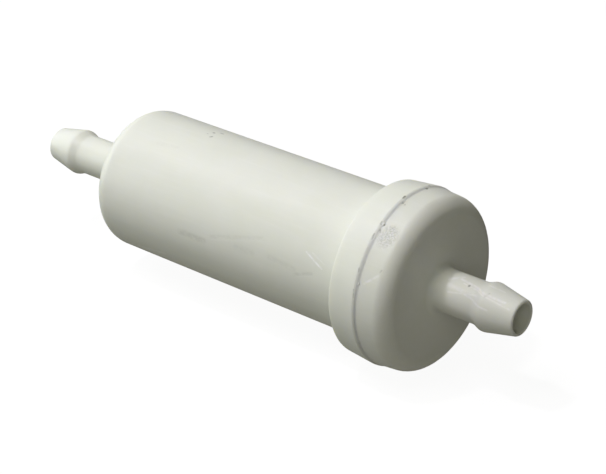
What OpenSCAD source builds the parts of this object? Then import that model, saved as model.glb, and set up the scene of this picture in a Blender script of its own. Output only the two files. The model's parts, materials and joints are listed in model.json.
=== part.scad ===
// In-line fuel filter: a welded two-piece plastic housing around a pleated paper element.
// The flow axis is +X, from the inlet nipple to the outlet nipple.
// The origin is the middle of the whole length.
// Profiles are drawn as [radius, station along X] and turned about the X axis.

/* [Hose nipples] */
// Bore of the fuel hose that the nipples are made for
hose_bore = 6.35; // [5.5:0.05:8.5]
// Inlet nipple, from its tip to the closed end of the canister
inlet_len = 20.1; // [15:0.1:32]
// Outlet nipple, from the face of the end cap to its tip
outlet_len = 15.2; // [13:0.1:30]
// Radius of the sweep at the root of each nipple
root_sweep = 1.0; // [0.6:0.1:4]

/* [Housing] */
// Outside diameter of the canister
body_od = 24.2; // [20:0.1:32]
// Canister length, from its closed end to the flange
body_len = 54.3; // [36:0.1:90]
// Canister wall thickness
body_wall = 1.6; // [1.2:0.1:2.2]
// Rounding of the canister's closed end
body_corner = 3.1; // [1.6:0.1:4]
// Length of the canister's weld flange
flange_len = 5.3; // [4.5:0.1:9]
// Step from the canister wall out to the flange, at its smaller edge
flange_step = 2.4; // [2:0.1:4]
// Draft of the flange: how much larger its radius is at the weld
flange_draft = 0.45; // [0:0.05:0.8]
// Length of the end cap's rim, from the weld to its face
cap_len = 5.5; // [4.5:0.1:9]
// Draft of the end cap's rim: how much smaller its radius is at the face
cap_draft = 0.65; // [0:0.05:1]
// Rounding of the end cap's rim
cap_corner = 2.6; // [1:0.1:3]
// Thickness of the closed end and of the end cap's face
end_wall = 1.8; // [1.4:0.1:2.4]

/* [Filter element] */
// Number of pleats in the paper
pleats = 24; // [12:1:26]
// Thickness of the pleated paper
paper_t = 0.4; // [0.2:0.05:0.45]
// Outside diameter of the perforated core tube
core_od = 8.4; // [8:0.1:9]
// Wall of the core tube
core_wall = 0.8; // [0.6:0.1:1]
// Diameter of the holes in the core tube
core_hole_d = 2.2; // [1:0.1:2.4]
// Distance between the rings of holes along the core tube
core_hole_pitch = 4.6; // [4:0.1:8]
// Section of the sealing ring on the element's outlet collar
seal_section = 1.6; // [1.2:0.1:1.8]

/* [Clearances] */
// Radial gap between the element's end discs and the canister's centring ribs
element_gap = 0.2; // [0.1:0.05:0.5]
// Radial gap around the end cap's spigot, before welding
spigot_gap = 0.1; // [0.05:0.05:0.2]
// Gap between the core tube and the sleeve or plug that fits it
core_gap = 0.05; // [0.02:0.01:0.1]

/* [Hidden] */
$fn = 96;
// Overshoot that keeps a cutting shape clear of the face it cuts
cut = 1;
// Depth to which a rib is buried in the wall that carries it
bury = 0.3;

// Stations along the flow axis
overall_len = inlet_len + body_len + flange_len + cap_len + outlet_len;
inlet_tip_x = -overall_len / 2;
body_start_x = inlet_tip_x + inlet_len;
flange_x = body_start_x + body_len;
weld_x = flange_x + flange_len;
cap_face_x = weld_x + cap_len;

// Barb on each nipple: the hose stretches over the crest and grips the neck behind it
hose_r = hose_bore / 2;
neck_stretch = 0.275;
crest_stretch = 0.825;
tip_lead = 0.275;
tip_wall = 0.5;
neck_r = hose_r + neck_stretch;
crest_r = hose_r + crest_stretch;
tip_r = hose_r - tip_lead;
bore_r = tip_r - tip_wall;
barb_cone_len = 5.4;
crest_len = 0.5;
barb_back_len = 1.4;
tip_round = 0.55;

// Housing radii
body_r = body_od / 2;
cavity_r = body_r - body_wall;
cavity_corner = 1.4;
flange_r = body_r + flange_step;
weld_r = flange_r + flange_draft;
cap_rim_r = weld_r - cap_draft;
flange_edge_round = 0.5;
flange_root_round = 0.5;
chamber_end_x = cap_face_x - end_wall;
cavity_start_x = body_start_x + end_wall;

// Weld joint: the cap's spigot enters a counterbore, and the weld bead fills a groove around the seam
spigot_len = 2.4;
spigot_wall = 1.1;
flash_trap = 0.2;
spigot_r = cavity_r + spigot_wall;
counterbore_r = spigot_r + spigot_gap;
counterbore_x = weld_x - spigot_len - flash_trap;
bead_half = 0.4;
bead_depth = 0.35;
bead_crown = 0.12;

// Centring ribs inside the canister
rib_count = 6;
rib_w = 1;
rib_h = 0.4;

// Element end discs: each is a shallow cup that the paper is bonded into
disc_r = cavity_r - rib_h - element_gap;
disc_t = 1;
disc_rim_t = 0.4;
disc_rim_h = 1.6;
potting_t = 0.8;
cup_r = disc_r - disc_rim_t;
lug_count = 4;
lug_len = 2.2;
lug_w = 1;
lug_inner_r = bore_r + lug_w;
lug_outer_r = cavity_r - cavity_corner - lug_w;
closed_disc_x = cavity_start_x + lug_len + disc_t;
stop_len = 5.2;
open_disc_x = chamber_end_x - stop_len - disc_t;

// Core tube, its screen and its plug
core_r = core_od / 2;
core_bore_r = core_r - core_wall;
screen_t = 0.2;
screen_r = core_r + core_gap + screen_t;
core_len = open_disc_x - closed_disc_x;
hole_rings = floor(core_len / core_hole_pitch) - 1;
holes_round = 6;
first_ring_x = (closed_disc_x + open_disc_x - (hole_rings - 1) * core_hole_pitch) / 2;
plug_len = 1.5;

// Outlet collar, its sealing ring and the end cap's socket around them
collar_wall = 1;
collar_r = core_bore_r + collar_wall;
collar_len = 4.4;
seal_offset = 2.2;
seal_mid_r = collar_r + seal_section / 2;
socket_r = collar_r + seal_section;
socket_wall = 1.2;
socket_gap = 1;
seal_x = open_disc_x + disc_t + seal_offset;
stop_count = 4;
stop_w = 1.2;

// Pleats
media_gap = 0.3;
media_r = cup_r - media_gap;
media_root_r = screen_r + media_gap;
media_start_x = closed_disc_x + potting_t;
media_end_x = open_disc_x - potting_t;
fold_half_w = 0.15;
valley_half_w = 0.12;
seam_depth = 2;
seam_share = seam_depth / (media_r - media_root_r - paper_t);

// Colours
housing_colour = [0.90, 0.90, 0.85];
weld_colour = [0.86, 0.86, 0.80];
paper_colour = [0.80, 0.70, 0.45];
moulded_colour = [0.25, 0.27, 0.28];
screen_colour = [0.86, 0.88, 0.88];
potting_colour = [0.72, 0.50, 0.22];
rubber_colour = [0.08, 0.08, 0.08];

// Turns a [radius, station] profile about the X axis
module turned() {
    rotate([0, 90, 0])
        rotate_extrude()
            children();
}

// Profile of a ring from radius r_in to r_out between two stations
module band(r_in, r_out, start, end) {
    translate([r_in, start])
        square([r_out - r_in, end - start]);
}

// Profile of a solid end: its side runs from r_start to r_end, and its rim is rounded into the end face
module rounded_end(r_start, start, r_end, end, corner) {
    slant = atan2(r_start - r_end, end - start);
    centre_r = r_end - corner * (1 - sin(slant)) / cos(slant);
    polygon([
        [0, start],
        [r_start, start],
        [centre_r + corner * cos(slant), end - corner * (1 - sin(slant))],
        [centre_r, end],
        [0, end]
    ]);
    translate([centre_r, end - corner])
        circle(corner);
}

// Profile of the hollow sweep between a cylinder of radius r and the face at station 0 that it stands on
module root_profile(r, sweep) {
    difference() {
        translate([r, 0])
            square(sweep);
        translate([r + sweep, sweep])
            circle(sweep);
    }
}

// Profile of one hose nipple standing on the face at station 0
module nipple_profile(len) {
    crest_end = len - barb_cone_len;
    neck_len = crest_end - crest_len - barb_back_len;
    band(0, neck_r, 0, neck_len);
    polygon([
        [0, neck_len],
        [neck_r, neck_len],
        [crest_r, crest_end - crest_len],
        [crest_r, crest_end],
        [0, crest_end]
    ]);
    rounded_end(crest_r, crest_end, tip_r, len, tip_round);
    root_profile(neck_r, root_sweep);
}

// Profile of half of the groove around the weld, on the side of the seam that grows with side
module bead_groove(side) {
    polygon([
        [weld_r - bead_depth, weld_x],
        [weld_r + cut, weld_x - side * cut],
        [weld_r + cut, weld_x + side * (bead_half + bead_half * cut / bead_depth)],
        [weld_r, weld_x + side * bead_half]
    ]);
}

// Flat bars, evenly spaced around the axis, each from radius r_in to r_out
module radial_bars(count, r_in, r_out, width, start, end) {
    for (turn = [0 : 360 / count : 359])
        rotate([turn, 0, 0])
            translate([start, -width / 2, r_in])
                cube([end - start, width, r_out - r_in]);
}

// Canister with the inlet nipple and the weld flange in one moulding
module body_shell() {
    color(housing_colour) {
        turned()
            difference() {
                union() {
                    mirror([0, 1]) {
                        rounded_end(body_r, -flange_x, body_r, -body_start_x, body_corner);
                        rounded_end(weld_r, -weld_x, flange_r, -flange_x, flange_edge_round);
                        translate([0, -flange_x])
                            root_profile(body_r, flange_root_round);
                        translate([0, -body_start_x])
                            nipple_profile(inlet_len);
                    }
                }
                mirror([0, 1])
                    rounded_end(cavity_r, -weld_x - cut, cavity_r, -cavity_start_x, cavity_corner);
                band(0, counterbore_r, counterbore_x, weld_x + cut);
                band(0, bore_r, inlet_tip_x - cut, cavity_start_x + cut);
                bead_groove(-1);
            }
        radial_bars(rib_count, cavity_r - rib_h, cavity_r + bury, rib_w,
            cavity_start_x + lug_len, counterbore_x);
    }
}

// End cap with the outlet nipple, the spigot, the seal socket and the stops that hold the element
module end_cap() {
    color(housing_colour) {
        turned()
            difference() {
                union() {
                    rounded_end(weld_r, weld_x, cap_rim_r, cap_face_x, cap_corner);
                    band(0, spigot_r, weld_x - spigot_len, weld_x + bury);
                    translate([0, cap_face_x])
                        nipple_profile(outlet_len);
                }
                band(0, cavity_r, weld_x - spigot_len - cut, chamber_end_x);
                band(0, bore_r, weld_x, cap_face_x + outlet_len + cut);
                bead_groove(1);
            }
        turned()
            band(socket_r, socket_r + socket_wall, open_disc_x + disc_t + socket_gap,
                chamber_end_x + bury);
        radial_bars(stop_count, socket_r + socket_wall / 2, cavity_r + bury, stop_w,
            open_disc_x + disc_t, chamber_end_x + bury);
    }
}

// Bead of plastic squeezed out of the seam between the canister and the cap
module weld_flash() {
    color(weld_colour)
        turned()
            polygon([
                [weld_r - bead_depth, weld_x],
                [weld_r, weld_x - bead_half],
                [weld_r + bead_crown, weld_x - bead_half / 2],
                [weld_r + bead_crown, weld_x + bead_half / 2],
                [weld_r, weld_x + bead_half]
            ]);
}

// Perforated tube that keeps the paper from collapsing inward
module core_tube() {
    color(moulded_colour)
        difference() {
            turned()
                band(core_bore_r, core_r, closed_disc_x, open_disc_x);
            for (ring = [0 : hole_rings - 1], hole = [0 : holes_round - 1])
                rotate([(hole + 0.25 + ring % 2 / 2) * 360 / holes_round, 0, 0])
                    translate([first_ring_x + ring * core_hole_pitch, 0, core_bore_r - cut])
                        cylinder(h = core_wall + 2 * cut, d = core_hole_d);
        }
}

// Fine nylon screen around the core tube
module core_screen() {
    color(screen_colour)
        turned()
            band(core_r + core_gap, screen_r, media_start_x, media_end_x);
}

// Corners of a star-shaped outline: a flat tip and a flat valley for each pleat
function pleat_outline(r_tip, tip_half, r_valley, valley_half) = [
    for (pleat = [0 : pleats - 1], corner = [[r_tip, tip_half, -1, 0], [r_tip, tip_half, 1, 0],
        [r_valley, valley_half, -1, 0.5], [r_valley, valley_half, 1, 0.5]])
        let (turn = (pleat + corner[3]) * 360 / pleats, half = asin(corner[1] / corner[0]))
        corner[0] * [cos(turn + corner[2] * half), sin(turn + corner[2] * half)]
];

// Extrudes an outline along the whole length of the paper
module along_media() {
    translate([media_start_x, 0, 0])
        rotate([0, 90, 0])
            linear_extrude(media_end_x - media_start_x)
                children();
}

// Pleated filter paper
module pleated_media() {
    color(paper_colour)
        along_media()
            difference() {
                polygon(pleat_outline(media_r, fold_half_w + paper_t,
                    media_root_r + paper_t, valley_half_w));
                polygon(pleat_outline(media_r - paper_t, fold_half_w,
                    media_root_r, valley_half_w + paper_t));
            }
}

// Wedge of adhesive at the bottom of the first valley, where the two ends of the paper meet
module media_seam_bead() {
    outline = pleat_outline(media_r, fold_half_w + paper_t, media_root_r + paper_t, valley_half_w);
    color(potting_colour)
        along_media()
            polygon([
                outline[2],
                outline[3],
                outline[3] + seam_share * (outline[4] - outline[3]),
                outline[2] + seam_share * (outline[1] - outline[2])
            ]);
}

// Cup that closes the element's inlet end, with lugs that stand on the canister's closed end
module closed_end_disc() {
    color(moulded_colour) {
        turned() {
            band(0, disc_r, closed_disc_x - disc_t, closed_disc_x);
            band(cup_r, disc_r, closed_disc_x - bury, closed_disc_x - disc_t + disc_rim_h + potting_t);
            band(0, core_bore_r - core_gap, closed_disc_x - bury, closed_disc_x + plug_len);
        }
        radial_bars(lug_count, lug_inner_r, lug_outer_r, lug_w, cavity_start_x,
            closed_disc_x - disc_t + bury);
    }
}

// Adhesive that bonds the paper into the closed cup
module closed_end_potting() {
    color(potting_colour)
        turned()
            band(screen_r + core_gap, cup_r, closed_disc_x, media_start_x);
}

// Cup at the element's outlet end, with the collar that the filtered fuel leaves through
module open_end_disc() {
    color(moulded_colour)
        turned() {
            band(core_bore_r, disc_r, open_disc_x, open_disc_x + disc_t);
            band(cup_r, disc_r, open_disc_x + disc_t - disc_rim_h - potting_t, open_disc_x + bury);
            band(core_bore_r, collar_r, open_disc_x + disc_t - bury, open_disc_x + disc_t + collar_len);
        }
}

// Adhesive that bonds the paper into the open cup
module open_end_potting() {
    color(potting_colour)
        turned()
            band(screen_r + core_gap, cup_r, media_end_x, open_disc_x);
}

// Rubber ring between the element's collar and the end cap's socket
module outlet_seal() {
    color(rubber_colour)
        turned()
            translate([seal_mid_r, seal_x])
                circle(d = seal_section);
}

body_shell();
end_cap();
weld_flash();
core_tube();
core_screen();
pleated_media();
media_seam_bead();
closed_end_disc();
closed_end_potting();
open_end_disc();
open_end_potting();
outlet_seal();
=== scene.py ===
# %% [markdown]
# # A small in-line fuel filter
# This lesson dresses a finished CAD model of a fuel filter for a small engine. The real
# object is a canister and an end cap, both moulded in milky natural plastic, spun against
# each other until they weld. A barbed nipple at each end takes a 1/4 in fuel hose, and a
# pleated paper element sits inside. The CAD model fixes every size and place. Blender only
# adds what CAD leaves plain: smooth mouldings, a ragged weld seam, folded paper and finishes.

# %% Load the CAD model
import json
import math
import bmesh
import bpy
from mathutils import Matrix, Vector, noise


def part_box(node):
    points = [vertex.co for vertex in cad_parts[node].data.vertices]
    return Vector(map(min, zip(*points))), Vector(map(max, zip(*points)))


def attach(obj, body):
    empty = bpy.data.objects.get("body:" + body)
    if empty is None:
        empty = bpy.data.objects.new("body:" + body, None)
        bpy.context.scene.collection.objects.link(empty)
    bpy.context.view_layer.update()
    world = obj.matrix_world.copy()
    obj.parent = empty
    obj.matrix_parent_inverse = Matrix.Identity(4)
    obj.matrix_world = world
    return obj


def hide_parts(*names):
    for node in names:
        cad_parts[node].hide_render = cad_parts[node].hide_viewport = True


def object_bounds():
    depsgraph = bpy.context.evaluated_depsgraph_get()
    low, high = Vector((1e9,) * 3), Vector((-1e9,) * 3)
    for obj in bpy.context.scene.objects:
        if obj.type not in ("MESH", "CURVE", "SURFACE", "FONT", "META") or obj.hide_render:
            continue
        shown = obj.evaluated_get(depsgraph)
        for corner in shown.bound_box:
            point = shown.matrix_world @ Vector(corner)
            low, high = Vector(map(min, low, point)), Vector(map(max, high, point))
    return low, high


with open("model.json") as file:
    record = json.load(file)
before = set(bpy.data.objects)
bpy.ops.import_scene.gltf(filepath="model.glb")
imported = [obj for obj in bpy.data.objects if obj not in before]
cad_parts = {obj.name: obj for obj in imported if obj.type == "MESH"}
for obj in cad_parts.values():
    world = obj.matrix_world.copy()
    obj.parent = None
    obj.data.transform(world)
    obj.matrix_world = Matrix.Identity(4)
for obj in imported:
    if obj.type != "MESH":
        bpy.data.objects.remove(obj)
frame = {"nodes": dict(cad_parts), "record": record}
CAD_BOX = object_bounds()
MM = 0.001
print("CAD nodes:", sorted(frame["nodes"]))
print("CAD box in mm:", [[round(c / MM, 2) for c in corner] for corner in CAD_BOX])

# %% [markdown]
# ## The camera
# The filter lies on its side, and the outlet end points towards the viewer. A camera can be
# placed by hand, or from two angles and a distance. Angles are easier to reason about, so a
# point just beside the filter's middle is chosen as the aim, and the camera stands back from
# it. A long lens keeps the cap and the canister in nearly parallel perspective.

# %% Place the camera
VIEW_AZIMUTH = math.radians(40.23)
VIEW_ELEVATION = math.radians(26.72)
VIEW_DISTANCE = 324.45 * MM
AIM_RIGHT = 5.24 * MM
AIM_DOWN = 2.26 * MM
LENS_MM = 116.45
SENSOR_MM = 36


def towards(azimuth, elevation):
    """Unit vector away from the filter: azimuth 0 is -Y, 90 degrees is +X, elevation is upwards."""
    flat = math.cos(elevation)
    return Vector((math.sin(azimuth) * flat, -math.cos(azimuth) * flat, math.sin(elevation)))


view_right = Vector((math.cos(VIEW_AZIMUTH), math.sin(VIEW_AZIMUTH), 0))
view_back = towards(VIEW_AZIMUTH, VIEW_ELEVATION)
view_up = view_back.cross(view_right)
aim = AIM_RIGHT * view_right - AIM_DOWN * view_up
camera_data = bpy.data.cameras.new("camera")
camera_data.lens = LENS_MM
camera_data.sensor_width = SENSOR_MM
camera_data.clip_start = 0.01
camera_data.clip_end = 10
camera = bpy.data.objects.new("camera", camera_data)
bpy.context.scene.collection.objects.link(camera)
camera.location = aim + VIEW_DISTANCE * view_back
camera.rotation_mode = "QUATERNION"
camera.rotation_quaternion = (-view_back).to_track_quat("-Z", "Y")
bpy.context.scene.camera = camera
print("camera at, in mm:", [round(c / MM, 1) for c in camera.location])

# %% [markdown]
# ## Stations and radii
# Every turned piece is a profile of stations along the X axis and radii around it. The record
# that comes with the CAD model names the places where hoses and clips go, with their exact
# radii, so the profile is read from there and from the boxes of the CAD nodes. Only the sizes
# that no box or record gives are written here, in millimetres.

# %% Read the sizes of the housing
mounts = {m["name"]: m for m in frame["record"]["mounts"]}


def mount_span(name):
    """Low station, high station and radius of a named fitting, in millimetres."""
    middle = mounts[name]["pos_m"][0] / MM
    half = mounts[name]["dims"]["length_mm"] / 2
    return middle - half, middle + half, mounts[name]["dims"]["r_mm"]


def box_mm(node):
    """Low and high corner of a CAD node in millimetres."""
    low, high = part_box(node)
    return low / MM, high / MM


BODY_CORNER = 3.1
# Hollow where the flange leaves the canister, and the nearly sharp edge of the flange there
FLANGE_ROUND = 0.5
FLANGE_EDGE = 0.12
# How much narrower the flange and the cap are at their far edges than at the weld
FLANGE_DRAFT = 0.45
CAP_DRAFT = 0.65
CAP_CORNER = 2.6
END_WALL = 1.8
TIP_X = box_mm("end_cap")[1].x
WELD_X = box_mm("body_shell")[1].x
SPIGOT_X = box_mm("end_cap")[0].x
WELD_R = box_mm("end_cap")[1].z
BORE_R = mount_span("outlet_bore")[2]
BODY_R = mount_span("body_clip_band")[2]
BODY_X = mount_span("body_clip_band")[0] - BODY_CORNER
FLANGE_X = mount_span("body_clip_band")[1] + FLANGE_ROUND
CAVITY_X = mount_span("inlet_bore")[1]
CHAMBER_X = mount_span("outlet_bore")[0]
CAP_FACE_X = CHAMBER_X + END_WALL
FLANGE_R = WELD_R - FLANGE_DRAFT
CAP_RIM_R = WELD_R - CAP_DRAFT
print("canister runs from", round(BODY_X, 2), "to", round(WELD_X, 2), "mm, radius", BODY_R)
print("end cap runs from", round(WELD_X, 2), "to", round(CAP_FACE_X, 2), "mm, radius", WELD_R)

# %% [markdown]
# ## Turning a profile
# Both mouldings are round, so each starts as one closed outline of a few points. A lathe can be
# imitated with the Screw modifier or with the spin operator. Spin is used because its mesh is
# real straight away, so single rings can then be picked out and rounded. The full turn is
# merged where it closes, and the normals are recalculated because a spin may face inwards.

# %% Helpers that turn and round a piece
TURN_STEPS = 240
PICK = 1e-6
ROUND_STEP = math.radians(8)
SHARP_TURN = math.radians(11)


def turned(points, steps=TURN_STEPS):
    """A closed outline of (station, radius) points in millimetres, spun about the X axis."""
    bm = bmesh.new()
    corners = [bm.verts.new((x * MM, 0, r * MM)) for x, r in points]
    sides = [bm.edges.new(pair) for pair in zip(corners, corners[1:] + corners[:1])]
    bmesh.ops.spin(bm, geom=corners + sides, cent=(0, 0, 0), axis=(1, 0, 0),
                   angle=math.tau, steps=steps, use_merge=True)
    bmesh.ops.remove_doubles(bm, verts=bm.verts, dist=PICK)
    bmesh.ops.recalc_face_normals(bm, faces=bm.faces)
    return bm


def ring_at(bm, x, r):
    """The edges of the ring at a station and a radius, in millimetres."""
    def on_ring(vert):
        return abs(vert.co.x - x * MM) < PICK and abs(vert.co.yz.length - r * MM) < PICK
    return [e for e in bm.edges if on_ring(e.verts[0]) and on_ring(e.verts[1])]


def round_ring(bm, x, r, rounding):
    """Rounds the corner that runs round the piece there, to a true radius in millimetres."""
    ring = ring_at(bm, x, r)
    turn = ring[0].calc_face_angle()
    bmesh.ops.bevel(bm, geom=ring, offset=rounding * MM * math.tan(turn / 2),
                    offset_type="OFFSET", segments=max(2, math.ceil(turn / ROUND_STEP)),
                    profile=0.5, affect="EDGES", material=-1, clamp_overlap=False)


def shade(bm):
    """Smooth faces, with a hard line only where two faces really meet at a corner."""
    for face in bm.faces:
        face.smooth = True
    for edge in bm.edges:
        edge.smooth = edge.calc_face_angle(0) < SHARP_TURN


def make_piece(name, bm, slot, *replaced):
    """Turns a finished bmesh into a piece that rides on the filter and stands for CAD nodes."""
    mesh = bpy.data.meshes.new(name)
    bm.to_mesh(mesh)
    bm.free()
    piece = bpy.data.objects.new(name, mesh)
    bpy.context.scene.collection.objects.link(piece)
    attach(piece, "root")
    if replaced:
        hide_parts(*replaced)
    print(name, "has", len(mesh.polygons), "faces")
    return piece


def even_shading(piece):
    """Large flat faces keep their own normals, and the small faces of a rounding blend."""
    weighted = piece.modifiers.new("even_shading", "WEIGHTED_NORMAL")
    weighted.keep_sharp = True
    weighted.weight = 100


print("a full turn takes", TURN_STEPS, "steps of", 360 / TURN_STEPS, "degrees")

# %% [markdown]
# ## The hose nipples
# Each nipple is a neck with a swollen crest. The hose stretches over the crest and grips the
# neck behind it. A small hollow fillet joins the neck to the housing, and the long cone in front
# of the crest ends in a thin, softly rounded lip. The same list of points serves both ends,
# mirrored by the sign of the side.

# %% Profile of a nipple
NECK_R = 3.45
TIP_R = 2.9
BARB_BACK = 1.4
ROOT_ROUND = 1.0
TIP_ROUND = 0.4
CREST_FRONT_ROUND = 2.4
CREST_BACK_ROUND = 1.2
NECK_ROUND = 2.0
MOUTH_ROUND = 0.16


def nipple_rings(side):
    """Rings of a nipple from its root to its mouth, each as station, radius and rounding."""
    root = BODY_X if side < 0 else CAP_FACE_X
    crest_low, crest_high, crest_r = mount_span("inlet_barb" if side < 0 else "outlet_barb")
    inner, outer = (crest_low, crest_high) if side > 0 else (crest_high, crest_low)
    tip = side * TIP_X
    return [
        (root, NECK_R, ROOT_ROUND),
        (inner - side * BARB_BACK, NECK_R, NECK_ROUND),
        (inner, crest_r, CREST_BACK_ROUND),
        (outer, crest_r, CREST_FRONT_ROUND),
        (tip, TIP_R, TIP_ROUND),
        (tip, BORE_R, MOUTH_ROUND),
    ]


def moulding(rings):
    """Spins a list of station, radius and rounding, then rounds each ring that asks for it."""
    bm = turned([(x, r) for x, r, rounding in rings])
    for x, r, rounding in rings:
        if rounding:
            round_ring(bm, x, r, rounding)
    return bm


print("outlet nipple, mm:", [(round(x, 2), round(r, 2)) for x, r, rounding in nipple_rings(1)])

# %% [markdown]
# ## Bars inside the housing
# Ribs inside the canister centre the element, and four stops inside the cap hold it back. They
# could be extruded from the walls, but a straight bar and a round wall share no faces. So the
# bars are plain boxes sunk a little into the wall, and a Boolean modifier welds them on. The
# box that cuts or joins is hidden, because only its effect is part of the filter.

# %% Helper that welds straight bars onto a turned piece
def bar_set(name, count, r_in, r_out, width, start, end):
    """Evenly spaced boxes around the axis, as a hidden object."""
    bm = bmesh.new()
    middle = Vector(((start + end) / 2, 0, (r_in + r_out) / 2)) * MM
    size = Vector((end - start, width, r_out - r_in)) * MM
    bar = bmesh.ops.create_cube(bm, size=1)["verts"]
    bmesh.ops.scale(bm, vec=size, verts=bar)
    bmesh.ops.translate(bm, vec=middle, verts=bar)
    bmesh.ops.spin(bm, geom=bm.verts[:] + bm.edges[:] + bm.faces[:], cent=(0, 0, 0),
                   axis=(1, 0, 0), angle=math.tau * (count - 1) / count, steps=count - 1,
                   use_duplicate=True)
    mesh = bpy.data.meshes.new(name)
    bm.to_mesh(mesh)
    bm.free()
    bars = bpy.data.objects.new(name, mesh)
    bpy.context.scene.collection.objects.link(bars)
    bars.hide_render = True
    bars.hide_viewport = True
    return bars


def weld_on(piece, bars):
    """Joins the hidden bars to the piece."""
    union = piece.modifiers.new(bars.name, "BOOLEAN")
    union.operation = "UNION"
    union.solver = "EXACT"
    union.object = bars


# %% [markdown]
# ## The canister
# The canister is a deep cup with the inlet nipple on its closed end and a drafted flange round
# its mouth. Its whole section, outside and inside, is one outline. Close to the weld the
# flange slopes down a little, so that the bead of plastic that the weld squeezes out lies
# nearly flush with it.

# %% Model the canister
CAVITY_R = 10.5
CAVITY_CORNER = 1.4
COUNTERBORE_R = 11.7
SPIGOT_GAP = 0.2
COUNTERBORE_X = SPIGOT_X - SPIGOT_GAP
# The slope of the flange down to the weld: its length, its depth and the rounding at its top
SEAM_EDGE = 0.45
SEAM_DEPTH = 0.13
SEAM_ROUND = 0.3
RIB_COUNT = 6
RIB_HEIGHT = 0.4
RIB_WIDTH = 1
RIB_INSET = 2.2
RIB_START = CAVITY_X + RIB_INSET
# How deep a bar is sunk into the wall that carries it
BURY = 0.3

canister_rings = nipple_rings(-1)[::-1] + [
    (BODY_X, BODY_R, BODY_CORNER),
    (FLANGE_X, BODY_R, FLANGE_ROUND),
    (FLANGE_X, FLANGE_R, FLANGE_EDGE),
    (WELD_X - SEAM_EDGE, WELD_R, SEAM_ROUND),
    (WELD_X, WELD_R - SEAM_DEPTH, 0),
    (WELD_X, COUNTERBORE_R, 0),
    (COUNTERBORE_X, COUNTERBORE_R, 0),
    (COUNTERBORE_X, CAVITY_R, 0),
    (CAVITY_X, CAVITY_R, CAVITY_CORNER),
    (CAVITY_X, BORE_R, 0),
]
canister_mesh = moulding(canister_rings)
shade(canister_mesh)
canister = make_piece("canister_moulding", canister_mesh, "housing", "body_shell")
ribs = bar_set("canister_ribs", RIB_COUNT, CAVITY_R - RIB_HEIGHT, CAVITY_R + BURY, RIB_WIDTH,
               RIB_START, COUNTERBORE_X)
weld_on(canister, ribs)
even_shading(canister)

# %% [markdown]
# ## The end cap
# The cap closes the canister. A narrow ledge beside the weld carries on the slope of the
# flange, the rim is drafted the other way, the face is rounded generously, and a spigot enters
# the canister's mouth. Inside, a socket takes the collar of the filter element, and four stops
# keep the element from sliding forward. Again one outline makes it all, apart from the stops.

# %% Model the end cap
SPIGOT_R = 11.6
LEDGE_LEN = 0.35
LEDGE_DROP = 0.23
LEDGE_ROUND = 0.8
SOCKET_R = 6.0
SOCKET_WALL = 1.2
COLLAR_LAP = 3.4
SOCKET_X = box_mm("open_end_disc")[1].x - COLLAR_LAP
STOP_COUNT = 4
STOP_WIDTH = 1.2
STOP_REACH = 1
STOP_X = SOCKET_X - STOP_REACH

cap_rings = [
    (WELD_X, SPIGOT_R, 0),
    (WELD_X, WELD_R - SEAM_DEPTH, 0),
    (WELD_X + LEDGE_LEN, WELD_R - LEDGE_DROP, LEDGE_ROUND),
    (CAP_FACE_X, CAP_RIM_R, CAP_CORNER),
] + nipple_rings(1) + [
    (CHAMBER_X, BORE_R, 0),
    (CHAMBER_X, SOCKET_R, 0),
    (SOCKET_X, SOCKET_R, 0),
    (SOCKET_X, SOCKET_R + SOCKET_WALL, 0),
    (CHAMBER_X, SOCKET_R + SOCKET_WALL, 0),
    (CHAMBER_X, CAVITY_R, 0),
    (SPIGOT_X, CAVITY_R, 0),
    (SPIGOT_X, SPIGOT_R, 0),
]
cap_mesh = moulding(cap_rings)
shade(cap_mesh)
cap = make_piece("end_cap_moulding", cap_mesh, "housing", "end_cap")
stops = bar_set("cap_stops", STOP_COUNT, SOCKET_R + SOCKET_WALL / 2, CAVITY_R + BURY, STOP_WIDTH,
                STOP_X, CHAMBER_X + BURY)
weld_on(cap, stops)
even_shading(cap)

# %% [markdown]
# ## The weld bead
# Spin welding squeezes a little molten plastic out of the seam. Most of it is trimmed or lies
# nearly flush, and here and there a crumb sticks up or has broken away. A bump pattern could
# suggest this, but the crumbs catch the light at the edge of the cap, so they are real shapes.
# A five-sided section is turned with many steps, and its skin is then pushed in and out by
# noise that is the same at every run. Bigger nicks sit at chosen angles.

# %% Model the weld bead
BEAD_STEPS = 900
BEAD_TOP_R = box_mm("weld_flash")[1].z
BEAD_HALF = 0.3
# The section's foot is buried in the seam, and its skin lies close to the slopes beside it
FOOT_DEPTH = 0.45
SHOULDER_DEPTH = 0.28
CREST_DEPTH = 0.19
BEAD_FOOT_R = WELD_R - FOOT_DEPTH
BEAD_SHOULDER_R = WELD_R - SHOULDER_DEPTH
BEAD_CREST_R = WELD_R - CREST_DEPTH
# Fine ripples and wider trimmed stretches: height in mm, and waves per metre
BEAD_RIPPLE = 0.03
RIPPLE_SCALE = 1500
TRIM_SCALE = 260
TRIM_WEIGHT = 1.5
SHIFT_OFFSET = Vector((7, 3, 1))
# Angle from the -Y side in degrees, spread in degrees, height in mm, shift along X in mm
CRUMBS = [
    (104, 0.8, 0.12, -0.05), (102, 0.5, -0.22, 0.0), (80.4, 0.9, 0.12, -0.15),
    (79, 0.5, -0.30, 0.05), (77.8, 0.5, 0.12, 0.10), (57, 1.0, 0.09, 0.10),
    (54.5, 0.6, -0.25, 0.0), (47, 1.4, 0.10, -0.10), (44.8, 0.5, -0.25, 0.05),
    (31, 1.0, 0.07, 0.05), (26, 0.7, -0.22, 0.0), (18, 1.2, 0.08, 0.10),
    (4, 1.0, -0.15, 0.0), (-22, 1.5, 0.06, 0.0), (140, 1.2, 0.08, 0.0),
    (176, 1.0, -0.2, 0.0), (215, 1.4, 0.08, 0.08), (262, 1.1, -0.2, 0.0), (305, 1.2, 0.07, 0.0),
]


def bell(angle, middle, spread):
    """A smooth hump of height one around an angle, all in degrees."""
    away = (angle - middle + 180) % 360 - 180
    return math.exp(-(away / spread) ** 2)


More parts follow.
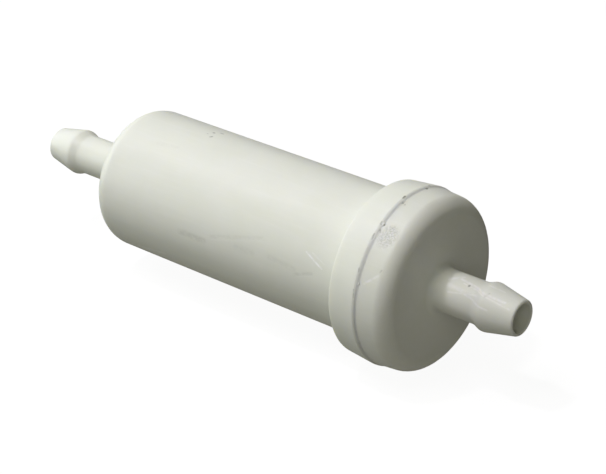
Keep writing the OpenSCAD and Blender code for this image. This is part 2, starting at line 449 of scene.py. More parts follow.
def roughen_bead(vert):
    """Pushes one vertex of the bead's skin by ripple, trimmed patches and crumbs."""
    angle = math.degrees(math.atan2(vert.co.z, -vert.co.y))
    r = vert.co.yz.length / MM
    skin = min(1, max(0, (r - BEAD_FOOT_R) / (BEAD_CREST_R - BEAD_FOOT_R)))
    spot = vert.co * RIPPLE_SCALE
    trimmed = noise.noise(vert.co * TRIM_SCALE)
    rise = BEAD_RIPPLE * (noise.noise(spot) + TRIM_WEIGHT * trimmed)
    shift = BEAD_RIPPLE * noise.noise(spot + SHIFT_OFFSET)
    for middle, spread, height, along in CRUMBS:
        amount = bell(angle, middle, spread)
        rise += amount * height
        shift += amount * along
    new_r = min(BEAD_TOP_R, r + skin * rise)
    vert.co.yz *= new_r / r
    vert.co.x += skin * shift * MM


bead_mesh = turned([
    (WELD_X, BEAD_FOOT_R),
    (WELD_X - BEAD_HALF / 2, BEAD_SHOULDER_R),
    (WELD_X - BEAD_HALF / 4, BEAD_CREST_R),
    (WELD_X + BEAD_HALF / 2, BEAD_CREST_R),
    (WELD_X + BEAD_HALF, BEAD_SHOULDER_R),
], steps=BEAD_STEPS)
for bead_vert in bead_mesh.verts:
    roughen_bead(bead_vert)
for bead_face in bead_mesh.faces:
    bead_face.smooth = True
bead = make_piece("weld_seam_bead", bead_mesh, "weld", "weld_flash")

# %% [markdown]
# ## The filter paper
# The element is one long strip of paper folded into a star. One fold is drawn as three points,
# and the bevel operator rounds its bends as paper really folds. Spinning copies round the axis
# repeats the fold, extruding gives it length, and Solidify gives it the thickness of paper.

# %% Model the pleated paper
PLEATS = 24
PAPER_T = 0.4
FOLD_ROUND = 0.3
FOLD_SEGMENTS = 4
SCREEN_GAP = 0.3
paper_low, paper_high = box_mm("pleated_media")
screen_r = box_mm("core_screen")[1].z
tip_r = paper_high.z - PAPER_T / 2
valley_r = screen_r + SCREEN_GAP + PAPER_T / 2

paper_mesh = bmesh.new()
half_pleat = math.pi / PLEATS
fold_points = [(valley_r, -half_pleat), (tip_r, 0), (valley_r, half_pleat)]
fold = [paper_mesh.verts.new((paper_low.x * MM, -r * math.sin(a) * MM, r * math.cos(a) * MM))
        for r, a in fold_points]
for pair in zip(fold, fold[1:]):
    paper_mesh.edges.new(pair)
bmesh.ops.spin(paper_mesh, geom=paper_mesh.verts[:] + paper_mesh.edges[:], cent=(0, 0, 0),
               axis=(1, 0, 0), angle=math.tau * (PLEATS - 1) / PLEATS, steps=PLEATS - 1,
               use_duplicate=True)
bmesh.ops.remove_doubles(paper_mesh, verts=paper_mesh.verts, dist=PICK)
bmesh.ops.bevel(paper_mesh, geom=paper_mesh.verts[:], offset=FOLD_ROUND * MM,
                offset_type="OFFSET", segments=FOLD_SEGMENTS, profile=0.5, affect="VERTICES",
                material=-1)
strip = bmesh.ops.extrude_edge_only(paper_mesh, edges=paper_mesh.edges[:])["geom"]
strip_end = [v for v in strip if isinstance(v, bmesh.types.BMVert)]
bmesh.ops.translate(paper_mesh, vec=((paper_high.x - paper_low.x) * MM, 0, 0), verts=strip_end)
bmesh.ops.recalc_face_normals(paper_mesh, faces=paper_mesh.faces)
for paper_face in paper_mesh.faces:
    paper_face.smooth = True
paper = make_piece("filter_paper", paper_mesh, "paper", "pleated_media")
thickness = paper.modifiers.new("paper_thickness", "SOLIDIFY")
thickness.thickness = PAPER_T * MM
thickness.offset = 0

# %% [markdown]
# ## Shader building blocks
# Several finishes share the same effects, so each effect is a node group with named sockets.
# A group only puts out masks, heights and colours. The Principled shader always stays in the
# material itself. A few small helpers keep the node code short.

# %% Helpers for node trees
def feed(tree, socket, value):
    """Links another node's socket to this one, or writes a plain value into it."""
    if isinstance(value, bpy.types.NodeSocket):
        tree.links.new(value, socket)
    else:
        socket.default_value = value


def add_node(tree, kind, settings=None, **inputs):
    """Adds a node, sets its properties, and feeds its inputs by name, or as in0, in1 by number."""
    made = tree.nodes.new(kind)
    for key, value in (settings or {}).items():
        setattr(made, key, value)
    for key, value in inputs.items():
        title = int(key[2:]) if key.startswith("in") else key.replace("_", " ")
        feed(tree, made.inputs[title], value)
    return made


def maths(tree, operation, a, b=0.0, c=0.0):
    """One Math node, as its output socket."""
    return add_node(tree, "ShaderNodeMath", {"operation": operation},
                    in0=a, in1=b, in2=c).outputs[0]


def spread(tree, value, low, high, to_low=0.0, to_high=1.0):
    """A Map Range node with soft ends, as its output socket."""
    return add_node(tree, "ShaderNodeMapRange", {"interpolation_type": "SMOOTHSTEP"},
                    Value=value, From_Min=low, From_Max=high, To_Min=to_low,
                    To_Max=to_high).outputs[0]


def start_group(name, wanted, given):
    """An empty shader group with sockets: wanted and given map each name to a socket kind."""
    group = bpy.data.node_groups.new(name, "ShaderNodeTree")
    for direction, sockets in (("INPUT", wanted), ("OUTPUT", given)):
        for title, kind in sockets.items():
            group.interface.new_socket(title, in_out=direction, socket_type="NodeSocket" + kind)
    entry = group.nodes.new("NodeGroupInput")
    leave = group.nodes.new("NodeGroupOutput")
    return group, entry.outputs, leave.inputs


def use_group(tree, group, **inputs):
    """Places a group in a tree and returns its outputs."""
    return add_node(tree, "ShaderNodeGroup", {"node_tree": group}, **inputs).outputs


# %% [markdown]
# ### Mottle
# Natural plastic is never one even colour. Thicker and thinner melt leaves wide, soft clouds.
# A few octaves of noise at the scale of some millimetres make them, and the group puts out a
# plain mask, so that each material decides how strongly it shows.

# %% Group: cloudy melt
mottle, wanted, given = start_group(
    "cloudy_melt", {"Place": "Vector", "Size mm": "Float"}, {"Cloud": "Float"})
per_metre = maths(mottle, "DIVIDE", 1 / MM, wanted["Size mm"])
cloud = add_node(mottle, "ShaderNodeTexNoise", Vector=wanted["Place"], Scale=per_metre,
                 Detail=3.0, Roughness=0.55)
mottle.links.new(spread(mottle, cloud.outputs[0], low=0.3, high=0.7), given["Cloud"])
print("made", mottle.name)

# %% [markdown]
# ### Satin skin
# The mould was polished and then fogged, so the surface is satin: a very fine grain only
# microns high. The grain is finer than it can be modelled, so it is a height for a Bump node,
# with a second, wider ripple that stands for the gentle sink marks over the wall.

# %% Group: satin skin
SINKS_PER_METRE = 140.0
satin, wanted, given = start_group(
    "satin_skin", {"Place": "Vector", "Grain mm": "Float", "Grain um": "Float", "Sink um": "Float"},
    {"Height mm": "Float"})
grain_scale = maths(satin, "DIVIDE", 1 / MM, wanted["Grain mm"])
grain = add_node(satin, "ShaderNodeTexNoise", Vector=wanted["Place"], Scale=grain_scale,
                 Detail=2.0, Roughness=0.6)
sink = add_node(satin, "ShaderNodeTexNoise", Vector=wanted["Place"], Scale=SINKS_PER_METRE,
                Detail=1.0, Roughness=0.4)
grain_height = maths(satin, "MULTIPLY", grain.outputs[0], wanted["Grain um"])
sink_height = maths(satin, "MULTIPLY", sink.outputs[0], wanted["Sink um"])
both = maths(satin, "ADD", grain_height, sink_height)
satin.links.new(maths(satin, "MULTIPLY", both, MM), given["Height mm"])
print("made", satin.name)

# %% [markdown]
# ### Draw marks
# A moulding that is pulled off its core along X gets faint streaks along X. Noise that is
# squeezed along the axis gives streaks without any seam, because it lives in space rather
# than on an unwrapped sheet.

# %% Group: draw marks
draw, wanted, given = start_group(
    "draw_marks", {"Place": "Vector", "Width mm": "Float", "Stretch": "Float"}, {"Streak": "Float"})
squeeze = add_node(draw, "ShaderNodeCombineXYZ", X=maths(draw, "DIVIDE", 1.0, wanted["Stretch"]),
                   Y=1.0, Z=1.0)
along = add_node(draw, "ShaderNodeVectorMath", {"operation": "MULTIPLY"}, in0=wanted["Place"],
                 in1=squeeze.outputs[0])
streaks = add_node(draw, "ShaderNodeTexNoise", Vector=along.outputs[0],
                   Scale=maths(draw, "DIVIDE", 1 / MM, wanted["Width mm"]), Detail=4.0,
                   Roughness=0.65, Distortion=0.3)
draw.links.new(spread(draw, streaks.outputs[0], low=0.45, high=0.75), given["Streak"])
print("made", draw.name)

# %% [markdown]
# ### Unrolled wall
# Scratches lie at known places on a round wall, so it helps to unroll the wall like a label:
# U is the station along X and V is the distance round it, both in millimetres. V is zero on
# the -Y side, and the sheet is cut at the far back, where no mark sits. Where a piece has
# several radii, its own distance from the axis is fed in as the radius.

# %% Group: unrolled wall
unrolled, wanted, given = start_group(
    "unrolled_wall", {"Place": "Vector", "Radius mm": "Float"}, {"Sheet": "Vector"})
axes = add_node(unrolled, "ShaderNodeSeparateXYZ", Vector=wanted["Place"]).outputs
round_angle = maths(unrolled, "ARCTAN2", axes[2], maths(unrolled, "MULTIPLY", axes[1], -1.0))
sheet_uv = add_node(unrolled, "ShaderNodeCombineXYZ", X=maths(unrolled, "DIVIDE", axes[0], MM),
                    Y=maths(unrolled, "MULTIPLY", round_angle, wanted["Radius mm"]), Z=0.0)
unrolled.links.new(sheet_uv.outputs[0], given["Sheet"])
print("made", unrolled.name)

# %% [markdown]
# ### Scratch
# A scratch is the set of points near a short line. The group measures the distance to the line
# from Start to End on the unrolled sheet, fades it over the given width, and breaks it up with
# noise so that no scratch is perfectly even.

# %% Group: scratch
BREAKS_PER_MM = 1.3
scratch, wanted, given = start_group(
    "scratch", {"Sheet": "Vector", "Start": "Vector", "End": "Vector", "Width mm": "Float"},
    {"Mark": "Float"})


def vector_maths(tree, operation, a, b, output=0):
    """One Vector Math node, as its output socket: 0 is its vector and 1 its plain number."""
    made = add_node(tree, "ShaderNodeVectorMath", {"operation": operation}, in0=a)
    socket = made.inputs["Scale"] if operation == "SCALE" else made.inputs[1]
    if operation != "LENGTH":
        tree.links.new(b, socket)
    return made.outputs[output]


from_start = vector_maths(scratch, "SUBTRACT", wanted["Sheet"], wanted["Start"])
whole = vector_maths(scratch, "SUBTRACT", wanted["End"], wanted["Start"])
reach = vector_maths(scratch, "DOT_PRODUCT", from_start, whole, output=1)
square = vector_maths(scratch, "DOT_PRODUCT", whole, whole, output=1)
share = add_node(scratch, "ShaderNodeMath", {"operation": "DIVIDE", "use_clamp": True},
                 in0=reach, in1=square).outputs[0]
nearest = vector_maths(scratch, "SCALE", whole, share)
aside = vector_maths(scratch, "SUBTRACT", from_start, nearest)
distance = vector_maths(scratch, "LENGTH", aside, None, output=1)
fade = spread(scratch, maths(scratch, "DIVIDE", distance, wanted["Width mm"]), low=0.15,
              high=1.0, to_low=1.0, to_high=0.0)
broken = add_node(scratch, "ShaderNodeTexNoise", Vector=wanted["Sheet"], Scale=BREAKS_PER_MM,
                  Detail=3.0)
breaks = spread(scratch, broken.outputs[0], low=0.3, high=0.6, to_low=0.25, to_high=1.0)
scratch.links.new(maths(scratch, "MULTIPLY", fade, breaks), given["Mark"])
print("made", scratch.name)

# %% [markdown]
# ### Scuffed patch
# Where a tool rubbed the rim, the skin is torn into a field of tiny pits with raised lips. The
# group fades an oval on the unrolled sheet and fills it with coarse grain, so one patch can
# lighten the colour, roughen the skin and raise it at the same time.

# %% Group: scuffed patch
PITS_PER_MM = 3.2
scuff, wanted, given = start_group(
    "scuffed_patch", {"Sheet": "Vector", "Middle": "Vector", "Half size": "Vector"},
    {"Oval": "Float", "Grain": "Float"})
from_middle = vector_maths(scuff, "SUBTRACT", wanted["Sheet"], wanted["Middle"])
in_halves = vector_maths(scuff, "DIVIDE", from_middle, wanted["Half size"])
out_share = vector_maths(scuff, "LENGTH", in_halves, None, output=1)
oval = spread(scuff, out_share, low=0.55, high=1.1, to_low=1.0, to_high=0.0)
pits = add_node(scuff, "ShaderNodeTexNoise", Vector=wanted["Sheet"], Scale=PITS_PER_MM,
                Detail=2.0, Roughness=0.7)
scuff.links.new(oval, given["Oval"])
scuff.links.new(spread(scuff, pits.outputs[0], low=0.42, high=0.62), given["Grain"])
print("made", scuff.name)

# %% [markdown]
# ## The housing plastic
# Both mouldings are natural acetal or nylon: milky, slightly warm, satin, and a little
# translucent. The base colour drifts between a cooler and a warmer milk white, draw marks
# lighten it, and a subsurface share lets light bleed up to 0.7 mm into the wall. Every
# material starts from the same Principled shader and Object coordinates, so that no seam or
# unwrapping is needed.

# %% Helpers that every material uses
# A Mix node has separate sockets for numbers, vectors and colours. These are its colour ones.
MIX_FACTOR = 0
MIX_COLOUR_A = 6
MIX_COLOUR_B = 7
MIX_COLOUR_OUT = 2


def start_material(name):
    """A node material with its Principled shader and a socket of Object coordinates."""
    material = bpy.data.materials.new(name)
    material.use_nodes = True
    tree = material.node_tree
    shader = tree.nodes["Principled BSDF"]
    place = add_node(tree, "ShaderNodeTexCoord").outputs["Object"]
    return material, tree, shader, place


def blend_colour(tree, factor, a, b):
    """A colour Mix node, as its output socket."""
    made = add_node(tree, "ShaderNodeMix", {"data_type": "RGBA"})
    for number, value in ((MIX_FACTOR, factor), (MIX_COLOUR_A, a), (MIX_COLOUR_B, b)):
        feed(tree, made.inputs[number], value)
    return made.outputs[MIX_COLOUR_OUT]


def link_surface(tree, shader, colour, rough, height_mm):
    """Feeds a colour, a roughness and a relief in millimetres to the shader."""
    relief = add_node(tree, "ShaderNodeBump", Strength=1.0, Distance=MM, Height=height_mm)
    tree.links.new(colour, shader.inputs["Base Color"])
    tree.links.new(rough, shader.inputs["Roughness"])
    tree.links.new(relief.outputs[0], shader.inputs["Normal"])


def let_light_in(shader, share, bleed_mm):
    """Sets how much light enters the skin, and how far its red, green and blue travel."""
    shader.inputs["Subsurface Weight"].default_value = share
    shader.inputs["Subsurface Radius"].default_value = bleed_mm
    shader.inputs["Subsurface Scale"].default_value = MM


# %% [markdown]
# ### Marks of use and painted shade
# A used look comes from a few marks in likely places, not from an even coat of noise. Each
# mark is one scratch from a station and an angle to another. Dark marks are dirt specks, dirt
# with painted shade in the nicks of the weld, and painted shade along shallow creases. Pale rubs
# are places where the skin was scraped. Both sink a little into the wall. They are kept in short
# lists, so that a mark can be added or moved on its own.

# %% The marks on the mouldings
# Start station, start angle, end station, end angle, width in mm, depth in mm, darkness
# Canister: dirt specks, dirt with painted shade in the weld's nicks at station 29, and painted
# shade along shallow creases
CANISTER_MARKS = [
    (-13.8, 96, -13.6, 96, 0.30, 0.03, 0.75), (-12.9, 88, -12.8, 89, 0.34, 0.03, 0.75),
    (-12.9, 100, -12.4, 100, 0.26, 0.02, 0.6), (-14.2, 91, -14.1, 91, 0.22, 0.02, 0.4),
    (-9.4, 0, -4.1, 0, 0.80, 0.03, 0.14), (-2.4, 6, 8.2, 20, 0.55, 0.02, 0.04),
    (2.9, 6, 6.4, 6, 0.80, 0.015, 0.07), (9.9, 8, 15.2, 6, 0.70, 0.015, 0.06),
    (15.2, 2, 18.7, 8, 0.45, 0.02, 0.10), (-20.0, 62, -16.0, 65, 0.60, 0.01, 0.04),
    (5.0, -62, 14.0, -55, 0.50, 0.01, 0.08), (-6.0, 150, 3.0, 158, 0.45, 0.01, 0.06),
    (29.1, 81.5, 29.2, 79.5, 0.28, 0.04, 0.8), (29.2, 105.5, 29.3, 104, 0.24, 0.03, 0.6),
    (29.2, 49, 29.3, 45.5, 0.22, 0.03, 0.45), (29.2, 57.5, 29.3, 56, 0.22, 0.03, 0.45),
    (29.2, 27, 29.3, 25, 0.20, 0.03, 0.35), (29.1, 14, 29.3, 9, 0.18, 0.02, 0.25),
]
CANISTER_RUBS = [
    (17.0, 23, 20.5, 15, 0.24, 0.020, 1.0), (18.2, 24, 20.8, 19, 0.18, 0.008, 0.4),
    (-22.0, -40, -15.0, -33, 0.60, 0.008, 0.5),
]
CAP_RUBS = [
    (39.3, 77, 48.1, 56, 0.34, 0.03, 1.0), (40.2, 66, 45.4, 50, 0.22, 0.02, 0.8),
    (41.0, 40, 46.0, 22, 0.26, 0.02, 0.7), (43.6, 62, 49.2, 44, 0.24, 0.025, 0.8),
    (38.4, 30, 43.4, 48, 0.24, 0.015, 0.6), (37.6, 62, 39.4, 88, 0.35, 0.015, 0.6),
    (42.5, 100, 47.0, 84, 0.26, 0.02, 0.6), (38.0, 48, 41.0, 44, 0.5, 0.01, 0.6),
    (30.6, 20, 32.6, 27, 0.30, 0.01, 0.6),
]
# Cap: dirt specks, and dirt with painted shade in the nicks beside the weld
CAP_MARKS = [
    (41.2, 64, 41.3, 65, 0.28, 0.03, 0.7), (44.9, 48, 45.3, 60, 0.22, 0.015, 0.2),
    (32.7, 29.5, 32.8, 30.5, 0.24, 0.03, 0.3), (31.2, 57, 31.5, 59, 0.20, 0.02, 0.25),
    (29.7, 80, 29.8, 78, 0.22, 0.04, 0.6), (30.2, 78, 30.3, 77.2, 0.20, 0.03, 0.35),
    (29.6, 104.5, 29.8, 102.5, 0.24, 0.04, 0.7), (29.7, 54.5, 29.9, 53, 0.20, 0.03, 0.4),
]
# Middle station, middle angle, half length and half width in mm. NO_PATCH is too small to see.
NO_PATCH = (0, 180, 0.01, 0.01)
CAP_PATCH = (31.4, 52, 1.7, 2.4)


def wall_radius(x):
    """Outside radius in millimetres of the wall that carries the marks at a station."""
    if x < FLANGE_X:
        return BODY_R
    if x < WELD_X:
        return WELD_R
    if x < CAP_FACE_X:
        return CAP_RIM_R
    crest_end = mount_span("outlet_barb")[1]
    crest_r = mount_span("outlet_barb")[2]
    if x < crest_end:
        return NECK_R
    return crest_r + (TIP_R - crest_r) * (x - crest_end) / (TIP_X - crest_end)


def on_sheet(x, angle):
    """A point of the unrolled wall, from its station and its angle in degrees."""
    return x, math.radians(angle) * wall_radius(x), 0


def lay_marks(tree, sheet, marks):
    """The strongest darkness and the total depth in mm of a list of marks, as two sockets."""
    darkness, depth = 0.0, 0.0
    for start_x, start_a, end_x, end_a, width, deep, dark in marks:
        mark = use_group(tree, scratch, Sheet=sheet, Start=on_sheet(start_x, start_a),
                         End=on_sheet(end_x, end_a), Width_mm=width)[0]
        darkness = maths(tree, "MAXIMUM", darkness, maths(tree, "MULTIPLY", mark, dark))
        depth = maths(tree, "MULTIPLY_ADD", mark, deep, depth)
    return darkness, depth


print("canister:", len(CANISTER_MARKS), "marks and", len(CANISTER_RUBS), "rubs")
print("end cap:", len(CAP_MARKS), "marks and", len(CAP_RUBS), "rubs")

# %% [markdown]
# ### The plastic itself
# Scratches, specks and the scuffed patch are masks that change colour, roughness and height
# together, as real damage does, and the dark marks in the weld's nicks and along creases also
# carry painted shade. One function mixes the plastic, and the canister and the cap each give it
# their own marks. The depth of the satin grain is in microns, the rest in mm.

# %% Housing plastic
MILK = (0.835, 0.845, 0.785, 1)
WARM_MILK = (0.80, 0.815, 0.725, 1)
# Dark colour for dirt in the pits and specks, and for the painted shade in the weld's nicks and
# along creases
DIRT_AND_PAINTED_SHADE = (0.20, 0.20, 0.17, 1)
RUBBED = (0.98, 0.98, 0.96, 1)
CLOUD_SHARE = 0.5
TORN_SHARE = 0.9
PIT_DIRT_SHARE = 0.16
SATIN_ROUGHNESS = 0.42
STREAK_ROUGHNESS = 0.08
WORN_ROUGHNESS = 0.15
STREAK_HEIGHT = 0.002
TORN_HEIGHT = 0.06
PLASTIC_IOR = 1.48
SKIN_BLEED_SHARE = 0.75
BLEED_MM = (0.7, 0.67, 0.55)


def housing_plastic(name, marks, rubs, patch, streak_share):
    """Milky satin plastic with its own marks of use, dirt, and painted shade in nicks and creases.
    """
    material, tree, shader, place = start_material(name)
    cloud_mask = use_group(tree, mottle, Place=place, Size_mm=9.0)[0]
    streak = use_group(tree, draw, Place=place, Width_mm=0.9, Stretch=14.0)[0]
    across = vector_maths(tree, "MULTIPLY", place, add_node(
        tree, "ShaderNodeCombineXYZ", X=0.0, Y=1 / MM, Z=1 / MM).outputs[0])
    radius = vector_maths(tree, "LENGTH", across, None, output=1)
    sheet = use_group(tree, unrolled, Place=place, Radius_mm=radius)[0]
    dark, dark_depth = lay_marks(tree, sheet, marks)
    light, light_depth = lay_marks(tree, sheet, rubs)
    patch_x, patch_angle, half_x, half_y = patch
    oval, grain = use_group(tree, scuff, Sheet=sheet, Middle=on_sheet(patch_x, patch_angle),
                            Half_size=(half_x, half_y, 1))
    torn = maths(tree, "MULTIPLY", oval, grain)
    pale = maths(tree, "MAXIMUM", light, maths(tree, "MULTIPLY", torn, TORN_SHARE))
    pitted = maths(tree, "SUBTRACT", oval, torn)
    grimy = maths(tree, "MULTIPLY", pitted, PIT_DIRT_SHARE)
    colour = blend_colour(tree, maths(tree, "MULTIPLY", cloud_mask, CLOUD_SHARE), MILK, WARM_MILK)
    colour = blend_colour(tree, maths(tree, "MULTIPLY", streak, streak_share), colour, RUBBED)
    colour = blend_colour(tree, pale, colour, RUBBED)
    colour = blend_colour(tree, grimy, colour, DIRT_AND_PAINTED_SHADE)
    # The dark marks: dirt specks, plus painted shade in the weld's nicks and along creases
    colour = blend_colour(tree, dark, colour, DIRT_AND_PAINTED_SHADE)
    rough = maths(tree, "MULTIPLY_ADD", streak, STREAK_ROUGHNESS, SATIN_ROUGHNESS)
    worn = maths(tree, "MAXIMUM", light, oval)
    rough = maths(tree, "MULTIPLY_ADD", worn, WORN_ROUGHNESS, rough)
    height = use_group(tree, satin, Place=place, Grain_mm=0.35, Grain_um=1.6, Sink_um=55.0)[0]
    height = maths(tree, "MULTIPLY_ADD", streak, STREAK_HEIGHT, height)
    height = maths(tree, "MULTIPLY_ADD", torn, TORN_HEIGHT, height)
    height = maths(tree, "SUBTRACT", height, dark_depth)
    height = maths(tree, "SUBTRACT", height, light_depth)
    link_surface(tree, shader, colour, rough, height)
    shader.inputs["IOR"].default_value = PLASTIC_IOR
    let_light_in(shader, SKIN_BLEED_SHARE, BLEED_MM)
    return material


canister.data.materials.append(housing_plastic(
    "canister_plastic", CANISTER_MARKS, CANISTER_RUBS, NO_PATCH, streak_share=0.10))
cap.data.materials.append(housing_plastic(
    "cap_plastic", CAP_MARKS, CAP_RUBS, CAP_PATCH, streak_share=0.12))
print("housing plastic on", canister.name, "and", cap.name)

# %% [markdown]
# ## The weld plastic
# Plastic that was molten and torn is rougher than the moulded skin, and dirt stays in its
# broken spots. The crumbs are geometry, and the material only adds a coarse grain.

# %% Weld plastic
GRIMY_MILK = (0.74, 0.74, 0.67, 1)
GRIME_SHARE = 0.4


def follow(tree, mask, low, gain):
    """A roughness that is low where the mask is zero and grows by the gain where it is one."""
    return maths(tree, "MULTIPLY_ADD", mask, gain, low)


def weld_plastic():
    """Rough plastic of the weld bead, with dirt in its broken spots."""
    material, tree, shader, place = start_material("weld_plastic")
    grime = use_group(tree, mottle, Place=place, Size_mm=1.1)[0]
    colour = blend_colour(tree, maths(tree, "MULTIPLY", grime, GRIME_SHARE), MILK, GRIMY_MILK)
    height = use_group(tree, satin, Place=place, Grain_mm=0.2, Grain_um=14.0, Sink_um=0.0)[0]
    link_surface(tree, shader, colour, follow(tree, grime, low=0.5, gain=0.2), height)
    let_light_in(shader, share=0.15, bleed_mm=BLEED_MM)
    return material


bead.data.materials.append(weld_plastic())
print("weld plastic on", bead.name)

# %% [markdown]
# ## Finishes of the element inside
# Nothing of the element shows while the filter is whole, but it is there when the model is
# opened or cut. Each material takes one pattern that its stuff really has: fibres in paper, a
# plain weave in the nylon screen, flow lines in cured adhesive, and a dull skin on rubber. One
# mask drives the colour, the roughness and often the height, so each material stays short.

# %% [markdown]
# ### Filter paper
# The paper is a mat of fibres stiffened with resin. Strongly distorted noise tangles like
# fibres, and the gaps between them are darker, where the resin soaked in.

# %% Group: paper fibres
fibres, wanted, given = start_group(
    "paper_fibres", {"Place": "Vector", "Fibre mm": "Float"}, {"Fibre": "Float"})
fibre_scale = maths(fibres, "DIVIDE", 1 / MM, wanted["Fibre mm"])
tangle = add_node(fibres, "ShaderNodeTexNoise", Vector=wanted["Place"], Scale=fibre_scale,
                  Detail=5.0, Roughness=0.7, Distortion=2.5)
fibres.links.new(spread(fibres, tangle.outputs[0], low=0.35, high=0.65), given["Fibre"])
print("made", fibres.name)


# %% Resin-treated paper
def filter_paper():
    """Resin-treated paper with a tangle of fibres."""
    material, tree, shader, place = start_material("resin_paper")
    fibre = use_group(tree, fibres, Place=place, Fibre_mm=0.5)[0]
    colour = blend_colour(tree, fibre, (0.60, 0.45, 0.22, 1), (0.80, 0.67, 0.42, 1))
    height = maths(tree, "MULTIPLY", fibre, 0.03)
    link_surface(tree, shader, colour, follow(tree, fibre, low=0.8, gain=0.1), height)
    return material


paper.data.materials.append(filter_paper())
print("resin paper on", paper.name)

# %% [markdown]
# ### Nylon screen
# The screen is a plain weave wrapped round the core tube. Two crossed sine waves on the
# unrolled wall make the threads, which is far lighter than modelling thousands of them.

# %% Group: woven screen
weave, wanted, given = start_group(
    "woven_screen", {"Sheet": "Vector", "Pitch mm": "Float"}, {"Thread": "Float"})
thread_axes = add_node(weave, "ShaderNodeSeparateXYZ", Vector=wanted["Sheet"]).outputs
turns = maths(weave, "DIVIDE", math.tau, wanted["Pitch mm"])
warp = maths(weave, "SINE", maths(weave, "MULTIPLY", thread_axes[0], turns))
weft = maths(weave, "SINE", maths(weave, "MULTIPLY", thread_axes[1], turns))
woven = maths(weave, "MAXIMUM", warp, weft)
weave.links.new(spread(weave, woven, low=0.0, high=1.0), given["Thread"])
print("made", weave.name)


# %% Woven nylon
def nylon_screen():
    """Fine plain weave that wraps round the core tube."""
    material, tree, shader, place = start_material("nylon_screen")
    sheet = use_group(tree, unrolled, Place=place, Radius_mm=box_mm("core_screen")[1].z)[0]
    thread = use_group(tree, weave, Sheet=sheet, Pitch_mm=0.3)[0]
    colour = blend_colour(tree, thread, (0.25, 0.26, 0.27, 1), (0.84, 0.86, 0.85, 1))
    height = maths(tree, "MULTIPLY", thread, 0.05)
    link_surface(tree, shader, colour, follow(tree, thread, low=0.6, gain=-0.2), height)
    return material


# %% [markdown]
# ### Adhesive, black plastic and rubber
# These three are even stuffs, so the cloudy melt group serves them all. Cured adhesive is
# amber, glossy and lets light in, the moulded parts are satin, and rubber is dull with a bloom.

# %% Adhesive, moulded plastic and rubber
AMBER_BLEED_MM = (1.0, 0.2, 0.1)


def cured_adhesive():
    """Amber adhesive that set with slow flow lines."""
    material, tree, shader, place = start_material("cured_adhesive")
    flow = use_group(tree, mottle, Place=place, Size_mm=2.5)[0]
    colour = blend_colour(tree, flow, (0.42, 0.22, 0.05, 1), (0.66, 0.42, 0.14, 1))
    height = maths(tree, "MULTIPLY", flow, 0.05)
    link_surface(tree, shader, colour, follow(tree, flow, low=0.2, gain=0.15), height)
    let_light_in(shader, share=0.2, bleed_mm=AMBER_BLEED_MM)
    return material


def moulded_black():
    """Satin black plastic of the core tube and the end discs."""
    material, tree, shader, place = start_material("moulded_black")
    cloud_mask = use_group(tree, mottle, Place=place, Size_mm=4.0)[0]
    colour = blend_colour(tree, cloud_mask, (0.045, 0.048, 0.052, 1), (0.075, 0.08, 0.085, 1))
    height = use_group(tree, satin, Place=place, Grain_mm=0.25, Grain_um=4.0, Sink_um=10.0)[0]
    link_surface(tree, shader, colour, follow(tree, cloud_mask, low=0.38, gain=0.12), height)
    return material


def nitrile_rubber():
    """Dull black rubber with a dusty bloom."""
    material, tree, shader, place = start_material("nitrile_rubber")
    bloom = use_group(tree, mottle, Place=place, Size_mm=1.5)[0]
    colour = blend_colour(tree, bloom, (0.012, 0.012, 0.012, 1), (0.035, 0.035, 0.034, 1))
    height = use_group(tree, satin, Place=place, Grain_mm=0.15, Grain_um=6.0, Sink_um=0.0)[0]
    link_surface(tree, shader, colour, follow(tree, bloom, low=0.55, gain=0.2), height)
    return material


# %% [markdown]
# ### Dressing the CAD nodes
# Eight pieces of the element already have the right shape in CAD, so Blender only gives them a
# finish. A table from node to material is easier to read than a line for each.

# %% Dress the element
black = moulded_black()
adhesive = cured_adhesive()
NODE_FINISH = {
    "core_tube": black, "closed_end_disc": black, "open_end_disc": black,
    "core_screen": nylon_screen(), "outlet_seal": nitrile_rubber(),
    "media_seam_bead": adhesive, "closed_end_potting": adhesive, "open_end_potting": adhesive,
}
for node_name, finish in NODE_FINISH.items():
    node_mesh = frame["nodes"][node_name].data
    node_mesh.materials.clear()
    node_mesh.materials.append(finish)
print("finishes on", len(NODE_FINISH), "CAD nodes")

# %% [markdown]
# ## The floor and the studio
# The filter lies on a plain pale floor in a white studio. A big white floor would light the
# underside too strongly, so the floor has two faces: what the camera sees is close to white and
# keeps only a faint shadow, and what lights the filter from below is dimmer and a little warm.
# The Light Path node tells the two apart. The world works the same way.

# %% Floor and world
FLOOR_SIZE = 3
FLOOR_Z = CAD_BOX[0].z
FLOOR_WHITE = 0.93
FLOOR_SHADOW_SHARE = 0.12
FLOOR_GLOW = (0.178, 0.173, 0.148, 1)
WORLD_DIM = (0.01, 0.01, 0.01, 1)


def floor_material():
    """Nearly white to the camera, and a dim warm glow to everything else."""
    material = bpy.data.materials.new("studio_floor")
    material.use_nodes = True
    tree = material.node_tree
    tree.nodes.clear()
    seen = add_node(tree, "ShaderNodeLightPath").outputs["Is Camera Ray"]
    pale = add_node(tree, "ShaderNodeBsdfDiffuse", Color=(FLOOR_SHADOW_SHARE,) * 3 + (1,))
    white = add_node(tree, "ShaderNodeEmission", Color=(FLOOR_WHITE,) * 3 + (1,))
    bright = add_node(tree, "ShaderNodeAddShader", in0=pale.outputs[0], in1=white.outputs[0])
    glow = add_node(tree, "ShaderNodeEmission", Color=FLOOR_GLOW)
    choice = add_node(tree, "ShaderNodeMixShader", Fac=seen, in1=glow.outputs[0],
                      in2=bright.outputs[0])
    add_node(tree, "ShaderNodeOutputMaterial", Surface=choice.outputs[0])
    return material


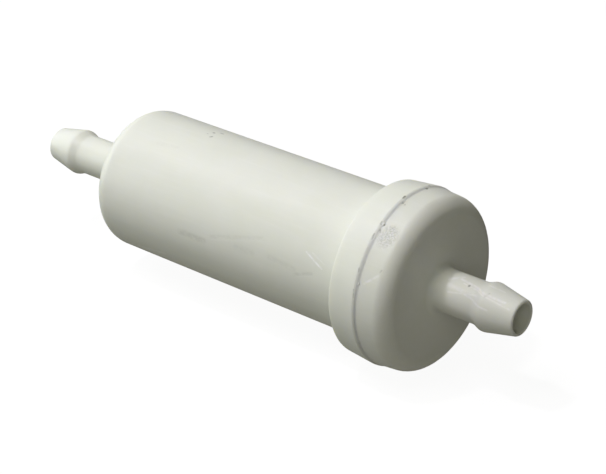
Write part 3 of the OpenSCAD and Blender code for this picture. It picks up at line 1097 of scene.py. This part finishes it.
floor_mesh = bmesh.new()
bmesh.ops.create_grid(floor_mesh, x_segments=1, y_segments=1, size=FLOOR_SIZE / 2)
bmesh.ops.translate(floor_mesh, vec=(0, 0, FLOOR_Z), verts=floor_mesh.verts)
floor_data = bpy.data.meshes.new("studio_floor")
floor_mesh.to_mesh(floor_data)
floor_mesh.free()
floor_data.materials.append(floor_material())
floor = bpy.data.objects.new("studio_floor", floor_data)
bpy.context.scene.collection.objects.link(floor)

world = bpy.data.worlds.new("studio")
world.use_nodes = True
world.node_tree.nodes.clear()
world_seen = add_node(world.node_tree, "ShaderNodeLightPath").outputs["Is Camera Ray"]
dim = add_node(world.node_tree, "ShaderNodeBackground", Color=WORLD_DIM)
backdrop = add_node(world.node_tree, "ShaderNodeBackground", Color=(1, 1, 1, 1))
world_mix = add_node(world.node_tree, "ShaderNodeMixShader", Fac=world_seen, in1=dim.outputs[0],
                     in2=backdrop.outputs[0])
add_node(world.node_tree, "ShaderNodeOutputWorld", Surface=world_mix.outputs[0])
bpy.context.scene.world = world
bpy.context.scene.view_settings.view_transform = "Standard"
print("floor at", round(FLOOR_Z / MM, 2), "mm")

# %% [markdown]
# ## The lights
# A small bright light stands almost straight above, a little towards the inlet. It is the only
# light whose shadow has an edge: the cap shades the root of the outlet nipple. Wide discs above
# and on the inlet's side wrap the canister softly, weak ones near the camera keep the cap's face
# readable, and one behind opens up the far side. Each light is a disc that is aimed at the
# filter from a direction and a distance.

# %% Soft lights
LIGHT_DISTANCE = 0.7
# Name, direction towards the light, disc diameter in m, power in W, colour
LIGHTS = [
    ("overhead_small", (-0.25, -0.28, 0.92), 0.06, 1.30, (1.00, 0.98, 1.02)),
    ("overhead_front", (-0.10, -0.50, 0.86), 0.25, 1.05, (1.00, 0.97, 1.02)),
    ("overhead_wide", (0.0, 0.0, 1.0), 0.5, 0.55, (1.00, 1.00, 0.78)),
    ("high_left", (-0.70, -0.20, 0.68), 0.25, 0.40, (1.00, 0.97, 1.08)),
    ("inlet_side", (-1.0, -0.3, 0.1), 0.5, 1.35, (0.95, 1.06, 0.94)),
    ("low_left", (-0.80, -0.60, 0.15), 0.5, 0.90, (1.00, 1.05, 0.96)),
    ("inlet_high", (-0.85, 0.10, 0.50), 0.5, 0.87, (0.97, 1.00, 1.10)),
    ("front_side", (-0.15, -1.0, 0.2), 0.5, 0.22, (0.95, 1.00, 1.05)),
    ("near_camera", (0.58, -0.68, 0.45), 0.5, 0.68, (1.02, 1.01, 0.92)),
    ("behind", (-0.60, 0.60, 0.50), 0.5, 0.46, (1.00, 1.06, 0.88)),
]


def soft_light(name, direction, diameter, power, colour):
    """A disc of light aimed at the middle of the filter."""
    lamp = bpy.data.lights.new(name, "AREA")
    lamp.shape = "DISK"
    lamp.size = diameter
    lamp.energy = power
    lamp.color = colour
    placed = bpy.data.objects.new(name, lamp)
    bpy.context.scene.collection.objects.link(placed)
    way = Vector(direction).normalized()
    placed.location = way * LIGHT_DISTANCE
    placed.rotation_mode = "QUATERNION"
    placed.rotation_quaternion = (-way).to_track_quat("-Z", "Y")
    return placed


for light_settings in LIGHTS:
    soft_light(*light_settings)
print("lights:", [settings[0] for settings in LIGHTS])
